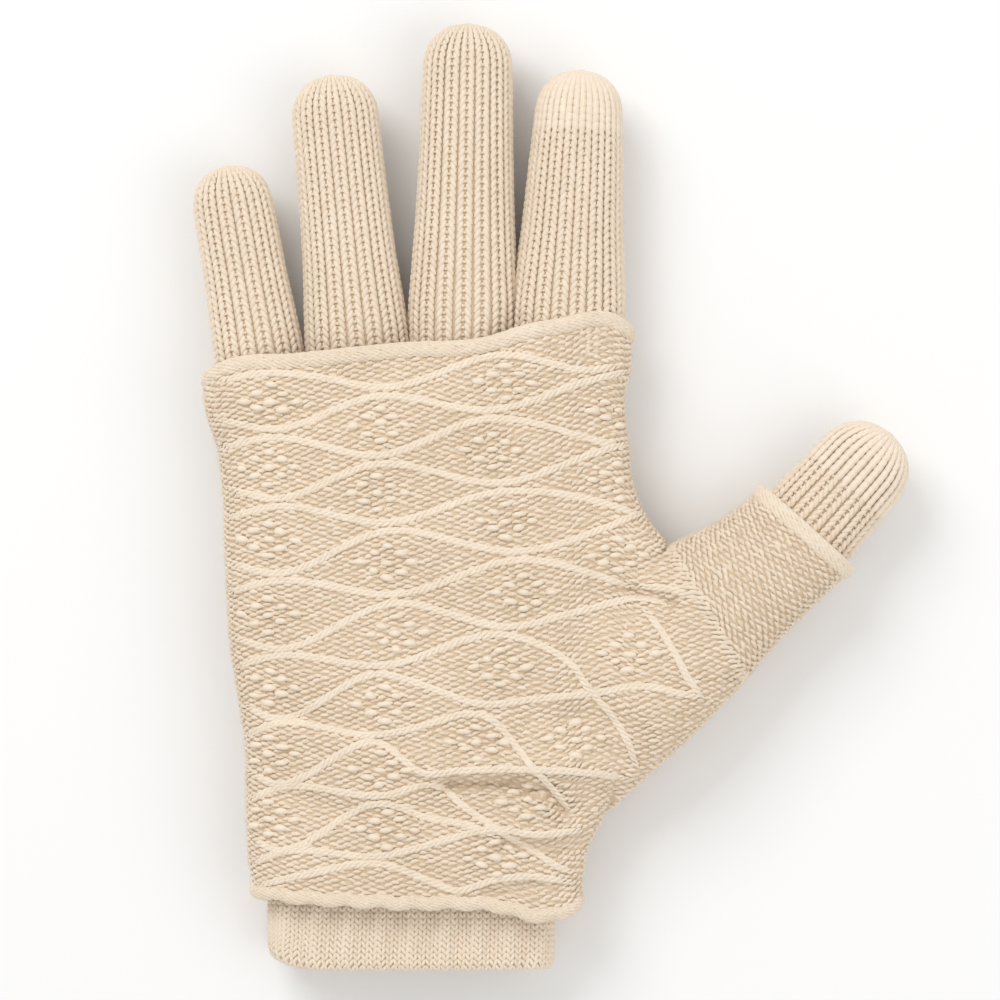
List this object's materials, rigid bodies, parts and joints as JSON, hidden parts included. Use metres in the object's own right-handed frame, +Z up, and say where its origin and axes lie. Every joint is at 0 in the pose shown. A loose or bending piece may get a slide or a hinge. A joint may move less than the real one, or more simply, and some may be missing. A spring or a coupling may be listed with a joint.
{
  "type": "knitted glove",
  "caption": "Cream two-layer knitted glove: full-finger rib-knit liner under a fingerless mitt with a raised diamond lattice and a thumb sleeve.",
  "frame": {"origin": "on the surface the glove lies on, under the middle of its box", "axes": "+Y towards the fingertips, +X towards the thumb side, +Z up out of the palm side, which the fingers curl towards"},
  "size_m": [0.1531, 0.2028, 0.026],
  "materials": {
    "liner_yarn": "matte knitted yarn",
    "mitt_yarn": "matte fuzzy knitted yarn",
    "touch_yarn": "smooth conductive yarn"
  },
  "bodies": {
    "palm": {"liner_palm_tube": "liner_yarn", "liner_thumb_gusset": "liner_yarn", "liner_wrist_cuff": "liner_yarn", "mitt_shell": "mitt_yarn", "mitt_wrist_hem": "mitt_yarn", "mitt_knuckle_welt": "mitt_yarn"},
    "little_base": {"liner_little_finger_base": "liner_yarn"},
    "little_middle": {"liner_little_finger_middle": "liner_yarn"},
    "little_tip": {"liner_little_finger_tip": "liner_yarn"},
    "ring_base": {"liner_ring_finger_base": "liner_yarn"},
    "ring_middle": {"liner_ring_finger_middle": "liner_yarn"},
    "ring_tip": {"liner_ring_finger_tip": "liner_yarn"},
    "middle_base": {"liner_middle_finger_base": "liner_yarn"},
    "middle_middle": {"liner_middle_finger_middle": "liner_yarn"},
    "middle_tip": {"liner_middle_finger_tip": "liner_yarn"},
    "index_base": {"liner_index_finger_base": "liner_yarn"},
    "index_middle": {"liner_index_finger_middle": "liner_yarn"},
    "index_tip": {"liner_index_touch_tip": "touch_yarn"},
    "thumb": {"liner_thumb_tube": "liner_yarn", "mitt_thumb_sleeve": "mitt_yarn", "mitt_thumb_welt": "mitt_yarn"},
    "thumb_tip": {"liner_thumb_touch_tip": "touch_yarn"}
  },
  "joints": [
    {"name": "little_knuckle", "type": "hinge", "parent": "palm", "child": "little_base", "pos_m": [-0.0636, 0.0355, 0.011], "axis": [0.9848, 0.1736, 0], "range_deg": [0, 65]},
    {"name": "little_middle_bend", "type": "hinge", "parent": "little_base", "child": "little_middle", "pos_m": [-0.06586, 0.0483, 0.011], "axis": [0.9848, 0.1736, 0], "range_deg": [0, 75]},
    {"name": "little_tip_bend", "type": "hinge", "parent": "little_middle", "child": "little_tip", "pos_m": [-0.06768, 0.05864, 0.011], "axis": [0.9848, 0.1736, 0], "range_deg": [0, 37.5]},
    {"name": "ring_knuckle", "type": "hinge", "parent": "palm", "child": "ring_base", "pos_m": [-0.0421, 0.039, 0.011], "axis": [0.9951, 0.0993, 0], "range_deg": [0, 65]},
    {"name": "ring_middle_bend", "type": "hinge", "parent": "ring_base", "child": "ring_middle", "pos_m": [-0.04394, 0.05741, 0.011], "axis": [0.9951, 0.0993, 0], "range_deg": [0, 75]},
    {"name": "ring_tip_bend", "type": "hinge", "parent": "ring_middle", "child": "ring_tip", "pos_m": [-0.04553, 0.07333, 0.011], "axis": [0.9951, 0.0993, 0], "range_deg": [0, 37.5]},
    {"name": "middle_knuckle", "type": "hinge", "parent": "palm", "child": "middle_base", "pos_m": [-0.0187, 0.044, 0.011], "axis": [0.9998, -0.0175, 0], "range_deg": [0, 65]},
    {"name": "middle_middle_bend", "type": "hinge", "parent": "middle_base", "child": "middle_middle", "pos_m": [-0.01833, 0.065, 0.011], "axis": [0.9998, -0.0175, 0], "range_deg": [0, 75]},
    {"name": "middle_tip_bend", "type": "hinge", "parent": "middle_middle", "child": "middle_tip", "pos_m": [-0.01803, 0.08249, 0.011], "axis": [0.9998, -0.0175, 0], "range_deg": [0, 37.5]},
    {"name": "index_knuckle", "type": "hinge", "parent": "palm", "child": "index_base", "pos_m": [0.0041, 0.047, 0.011], "axis": [0.9984, -0.0558, 0], "range_deg": [0, 65]},
    {"name": "index_middle_bend", "type": "hinge", "parent": "index_base", "child": "index_middle", "pos_m": [0.00499, 0.06298, 0.011], "axis": [0.9984, -0.0558, 0], "range_deg": [0, 75]},
    {"name": "index_tip_bend", "type": "hinge", "parent": "index_middle", "child": "index_tip", "pos_m": [0.00575, 0.07645, 0.011], "axis": [0.9984, -0.0558, 0], "range_deg": [0, 37.5]},
    {"name": "thumb_knuckle", "type": "hinge", "parent": "palm", "child": "thumb", "pos_m": [0.0448, -0.0184, 0.012], "axis": [0.7431, -0.6691, 0], "range_deg": [0, 40]},
    {"name": "thumb_tip_bend", "type": "hinge", "parent": "thumb", "child": "thumb_tip", "pos_m": [0.05952, -0.00205, 0.012], "axis": [0.7431, -0.6691, 0], "range_deg": [0, 60]}
  ],
  "couplings": [
    {"joint": "little_tip_bend", "follows": "little_middle_bend", "ratio": 0.5},
    {"joint": "ring_tip_bend", "follows": "ring_middle_bend", "ratio": 0.5},
    {"joint": "middle_tip_bend", "follows": "middle_middle_bend", "ratio": 0.5},
    {"joint": "index_tip_bend", "follows": "index_middle_bend", "ratio": 0.5}
  ]
}
